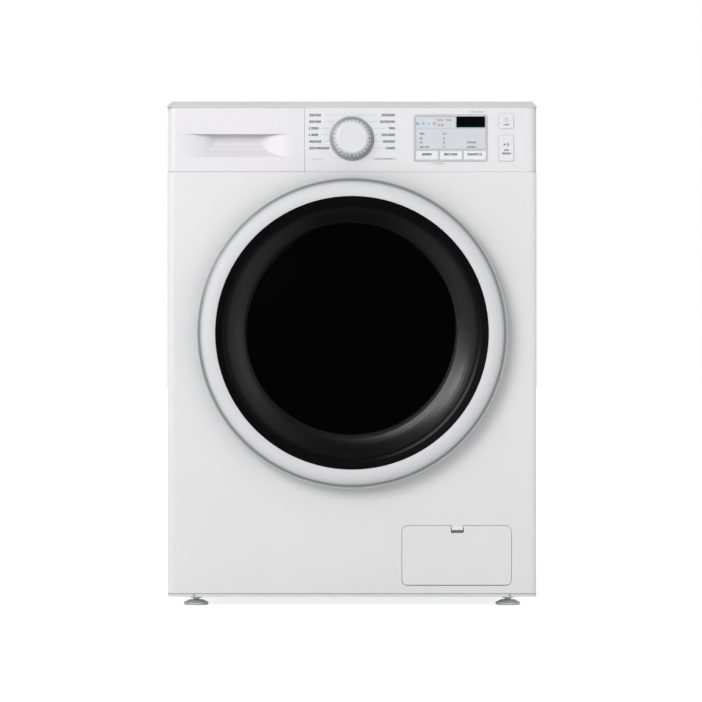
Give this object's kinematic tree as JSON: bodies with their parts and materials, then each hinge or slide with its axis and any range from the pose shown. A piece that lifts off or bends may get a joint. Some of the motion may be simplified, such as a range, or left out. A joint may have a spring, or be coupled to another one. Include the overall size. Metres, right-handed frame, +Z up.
{
  "type": "front load washing machine",
  "caption": "Front load washing machine with a porthole door, program knob, display, detergent drawer, perforated drum on a sprung tub, belt drive and drain pump.",
  "frame": {"origin": "on the floor, in the middle of the overall width and depth", "axes": "+X to the right of someone who faces the machine, -Y to its front, +Z up"},
  "size_m": [0.6, 0.614, 0.82],
  "materials": {
    "white_paint": "smooth semi-gloss stoved enamel",
    "cover_white": "fine matt grain",
    "zinc_sheet": "galvanised sheet",
    "base_grey": "moulded, matt",
    "foot_plastic": "moulded pad on a threaded stem",
    "white_plastic": "semi-gloss moulded",
    "silver_plastic": "silver paint on plastic",
    "display_face": "pale printed face with dark window",
    "pearl_plastic": "pearl lacquer",
    "circuit_board": "board with parts",
    "tray_plastic": "moulded",
    "blue_plastic": "moulded",
    "tub_plastic": "filled polypropylene",
    "hose_rubber": "moulded rubber",
    "concrete": "cast concrete",
    "heater_steel": "drawn and turned steel",
    "drum_steel": "polished stainless sheet",
    "lifter_plastic": "moulded",
    "cast_alloy": "die cast",
    "belt_rubber": "ribbed belt",
    "black_plastic": "moulded",
    "gasket_rubber": "soft moulded rubber",
    "pane_black": "high gloss, dark tinted",
    "bowl_glass": "pressed clear glass",
    "frame_grey": "moulded",
    "impeller_plastic": "moulded"
  },
  "bodies": {
    "cabinet": {"left_side_panel": "white_paint", "right_side_panel": "white_paint", "front_panel": "white_paint", "top_cover": "cover_white", "rear_panel": "zinc_sheet", "service_cover": "zinc_sheet", "base_frame": "base_grey", "levelling_feet": "foot_plastic", "top_frame": "zinc_sheet", "console_panel": "white_plastic", "display_frame": "silver_plastic", "display_window": "display_face", "control_board": "circuit_board", "dispenser_housing": "tub_plastic", "inlet_valve": "tub_plastic", "inside_hoses": "hose_rubber", "tub_hoses": "hose_rubber", "suspension_springs": "heater_steel", "damper_cylinders": "black_plastic", "door_gasket": "gasket_rubber", "hinge_bracket": "zinc_sheet", "door_lock": "black_plastic", "drain_pump": "black_plastic", "filter_surround": "frame_grey", "rear_fittings": "black_plastic", "transit_caps": "black_plastic", "panel_screws": "heater_steel"},
    "tub": {"tub_front": "tub_plastic", "tub_rear": "tub_plastic", "counterweights": "concrete", "heater": "heater_steel", "bearings": "heater_steel", "drive_belt": "belt_rubber", "drive_motor": "cast_alloy", "damper_rods": "heater_steel"},
    "drum": {"drum_shell": "drum_steel", "drum_lifters": "lifter_plastic", "drum_spider": "cast_alloy", "drum_shaft": "heater_steel", "drum_pulley": "cast_alloy"},
    "rotor": {"motor_pulley": "heater_steel"},
    "door": {"door_outer_ring": "white_plastic", "door_trim_ring": "silver_plastic", "door_pane": "pane_black", "door_bowl": "bowl_glass", "door_inner_frame": "frame_grey", "hinge_leaf": "zinc_sheet"},
    "latch": {"latch_hook": "zinc_sheet"},
    "drawer": {"drawer_front": "white_plastic", "detergent_drawer": "tray_plastic", "siphon_insert": "blue_plastic"},
    "dial": {"program_knob": "pearl_plastic"},
    "power": {"power_button": "white_plastic"},
    "start": {"start_button": "white_plastic"},
    "option_left": {"option_key_left": "silver_plastic"},
    "option_middle": {"option_key_middle": "silver_plastic"},
    "option_right": {"option_key_right": "silver_plastic"},
    "filter_flap": {"filter_cover": "white_plastic"},
    "filter": {"pump_filter": "impeller_plastic"},
    "impeller": {"pump_impeller": "impeller_plastic"}
  },
  "joints": [
    {"name": "tub_bounce", "type": "slide", "parent": "cabinet", "child": "tub", "axis": [0, 0, 1], "range_m": [-0.012, 0.012], "stiffness_N_per_m": 28000, "springref_m": 0.0109, "deforming": ["suspension_springs", "door_gasket", "tub_hoses"]},
    {"name": "drum_spin", "type": "hinge", "parent": "tub", "child": "drum", "pos_m": [0, -0.005, 0.444], "axis": [0, 1, 0], "continuous": true},
    {"name": "motor_spin", "type": "hinge", "parent": "tub", "child": "rotor", "pos_m": [-0.06, 0.165, 0.117], "axis": [0, 1, 0], "continuous": true},
    {"name": "door_swing", "type": "hinge", "parent": "cabinet", "child": "door", "pos_m": [-0.24, -0.281, 0.444], "axis": [0, 0, -1], "range_deg": [0, 110]},
    {"name": "latch_pivot", "type": "hinge", "parent": "door", "child": "latch", "pos_m": [0.204, -0.276, 0.444], "axis": [0, 0, 1], "range_deg": [0, 6], "stiffness_Nm_per_rad": 0.5},
    {"name": "drawer_slide", "type": "slide", "parent": "cabinet", "child": "drawer", "axis": [0, -1, 0], "range_m": [0, 0.2]},
    {"name": "dial_turn", "type": "hinge", "parent": "cabinet", "child": "dial", "pos_m": [0, -0.265, 0.759], "axis": [0, 1, 0], "continuous": true},
    {"name": "power_press", "type": "slide", "parent": "cabinet", "child": "power", "axis": [0, 1, 0], "range_m": [0, 0.0015], "stiffness_N_per_m": 400},
    {"name": "start_press", "type": "slide", "parent": "cabinet", "child": "start", "axis": [0, 1, 0], "range_m": [0, 0.0015], "stiffness_N_per_m": 400},
    {"name": "option_left_press", "type": "slide", "parent": "cabinet", "child": "option_left", "axis": [0, 1, 0], "range_m": [0, 0.0015], "stiffness_N_per_m": 400},
    {"name": "option_middle_press", "type": "slide", "parent": "cabinet", "child": "option_middle", "axis": [0, 1, 0], "range_m": [0, 0.0015], "stiffness_N_per_m": 400},
    {"name": "option_right_press", "type": "slide", "parent": "cabinet", "child": "option_right", "axis": [0, 1, 0], "range_m": [0, 0.0015], "stiffness_N_per_m": 400},
    {"name": "flap_tip", "type": "hinge", "parent": "cabinet", "child": "filter_flap", "pos_m": [0.1697, -0.2623, 0.0446], "axis": [1, 0, 0], "range_deg": [0, 90]},
    {"name": "filter_turn", "type": "hinge", "parent": "cabinet", "child": "filter", "pos_m": [0.1697, -0.225, 0.08], "axis": [0, 1, 0], "range_deg": [-90, 0]},
    {"name": "impeller_spin", "type": "hinge", "parent": "cabinet", "child": "impeller", "pos_m": [0.1697, -0.145, 0.08], "axis": [0, 1, 0], "continuous": true}
  ],
  "couplings": [
    {"joint": "motor_spin", "follows": "drum_spin", "ratio": 12.441}
  ]
}
